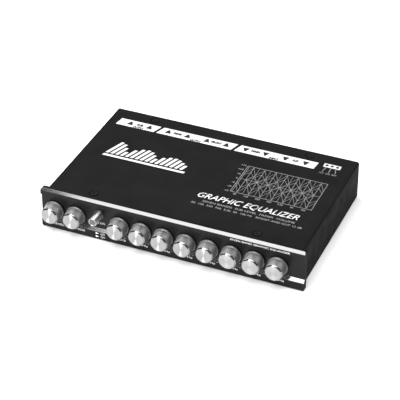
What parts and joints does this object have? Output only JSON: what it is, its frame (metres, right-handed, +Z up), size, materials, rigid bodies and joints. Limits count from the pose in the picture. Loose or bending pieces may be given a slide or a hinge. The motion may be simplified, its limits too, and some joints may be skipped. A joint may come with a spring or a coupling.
{
  "type": "graphic equalizer",
  "caption": "Slim black car graphic equalizer with a row of aluminium knobs, a small push button, a screwed sheet-metal case and phono sockets at the rear.",
  "frame": {"origin": "centre of the footprint of the whole unit, knobs and phono barrels included, on the surface it stands on", "axes": "+X to the right along the faceplate, +Y from the faceplate to the rear, +Z up"},
  "size_m": [0.178, 0.1272, 0.0288],
  "materials": {
    "case_paint": "fine-textured matt black powder coat",
    "panel_black": "satin black anodised, bevels polished",
    "turned_aluminium": "turned and satin anodised, spun face",
    "bare_aluminium": "as machined",
    "bright_chrome": "bright plated",
    "black_steel": "blackened steel",
    "plated_steel": "zinc plated",
    "tinned_brass": "tinned brass",
    "nickel_plate": "bright nickel plate",
    "white_plastic": "moulded nylon",
    "black_plastic": "moulded",
    "board_green": "solder mask on glass-epoxy board",
    "capacitor_red": "dipped film capacitor",
    "capacitor_sleeve": "shrunk sleeve",
    "ferrite_green": "coated ring core"
  },
  "bodies": {
    "chassis": {"bottom_tray": "case_paint", "top_cover": "case_paint", "front_panel": "panel_black", "cover_screws": "black_steel", "cover_nuts": "plated_steel", "control_bracket": "plated_steel", "panel_posts": "plated_steel", "panel_screws": "plated_steel", "pot_nuts": "plated_steel", "pot_terminals": "tinned_brass", "button_ring": "bright_chrome", "switch_body": "black_plastic", "control_board": "board_green", "main_board": "board_green", "board_spacers": "plated_steel", "board_screws": "plated_steel", "board_headers": "black_plastic", "filter_chips": "black_plastic", "film_capacitors": "capacitor_red", "electrolytic_capacitors": "capacitor_sleeve", "supply_transformer": "ferrite_green", "heat_sink": "bare_aluminium", "supply_regulators": "black_plastic", "jack_blocks": "black_plastic", "jack_barrels": "nickel_plate", "jack_insulators": "white_plastic", "power_socket": "black_plastic", "power_pins": "tinned_brass", "pot_sub_level": "plated_steel", "pot_fader": "plated_steel", "pot_volume": "plated_steel", "pot_band_1": "plated_steel", "pot_band_2": "plated_steel", "pot_band_3": "plated_steel", "pot_band_4": "plated_steel", "pot_band_5": "plated_steel", "pot_band_6": "plated_steel", "pot_band_7": "plated_steel"},
    "sub_level": {"knob_sub_level": "turned_aluminium", "shaft_sub_level": "bare_aluminium"},
    "fader": {"knob_fader": "turned_aluminium", "shaft_fader": "bare_aluminium"},
    "volume": {"knob_volume": "turned_aluminium", "shaft_volume": "bare_aluminium"},
    "band_1": {"knob_band_1": "turned_aluminium", "shaft_band_1": "bare_aluminium"},
    "band_2": {"knob_band_2": "turned_aluminium", "shaft_band_2": "bare_aluminium"},
    "band_3": {"knob_band_3": "turned_aluminium", "shaft_band_3": "bare_aluminium"},
    "band_4": {"knob_band_4": "turned_aluminium", "shaft_band_4": "bare_aluminium"},
    "band_5": {"knob_band_5": "turned_aluminium", "shaft_band_5": "bare_aluminium"},
    "band_6": {"knob_band_6": "turned_aluminium", "shaft_band_6": "bare_aluminium"},
    "band_7": {"knob_band_7": "turned_aluminium", "shaft_band_7": "bare_aluminium"},
    "sub_button": {"button_sub_on": "bright_chrome", "button_stem": "white_plastic"}
  },
  "joints": [
    {"name": "turn_sub_level", "type": "hinge", "parent": "chassis", "child": "sub_level", "pos_m": [-0.07975, -0.05905, 0.0145], "axis": [0, 1, 0], "range_deg": [-150, 150]},
    {"name": "turn_fader", "type": "hinge", "parent": "chassis", "child": "fader", "pos_m": [-0.06459, -0.05905, 0.0145], "axis": [0, 1, 0], "range_deg": [-150, 150]},
    {"name": "turn_volume", "type": "hinge", "parent": "chassis", "child": "volume", "pos_m": [-0.03429, -0.05905, 0.0145], "axis": [0, 1, 0], "range_deg": [-150, 150]},
    {"name": "turn_band_1", "type": "hinge", "parent": "chassis", "child": "band_1", "pos_m": [-0.01913, -0.05905, 0.0145], "axis": [0, 1, 0], "range_deg": [-150, 150]},
    {"name": "turn_band_2", "type": "hinge", "parent": "chassis", "child": "band_2", "pos_m": [-0.00398, -0.05905, 0.0145], "axis": [0, 1, 0], "range_deg": [-150, 150]},
    {"name": "turn_band_3", "type": "hinge", "parent": "chassis", "child": "band_3", "pos_m": [0.01118, -0.05905, 0.0145], "axis": [0, 1, 0], "range_deg": [-150, 150]},
    {"name": "turn_band_4", "type": "hinge", "parent": "chassis", "child": "band_4", "pos_m": [0.02634, -0.05905, 0.0145], "axis": [0, 1, 0], "range_deg": [-150, 150]},
    {"name": "turn_band_5", "type": "hinge", "parent": "chassis", "child": "band_5", "pos_m": [0.04149, -0.05905, 0.0145], "axis": [0, 1, 0], "range_deg": [-150, 150]},
    {"name": "turn_band_6", "type": "hinge", "parent": "chassis", "child": "band_6", "pos_m": [0.05665, -0.05905, 0.0145], "axis": [0, 1, 0], "range_deg": [-150, 150]},
    {"name": "turn_band_7", "type": "hinge", "parent": "chassis", "child": "band_7", "pos_m": [0.0718, -0.05905, 0.0145], "axis": [0, 1, 0], "range_deg": [-150, 150]},
    {"name": "press_sub_on", "type": "slide", "parent": "chassis", "child": "sub_button", "axis": [0, 1, 0], "range_m": [0, 0.002], "stiffness_N_per_m": 300}
  ]
}
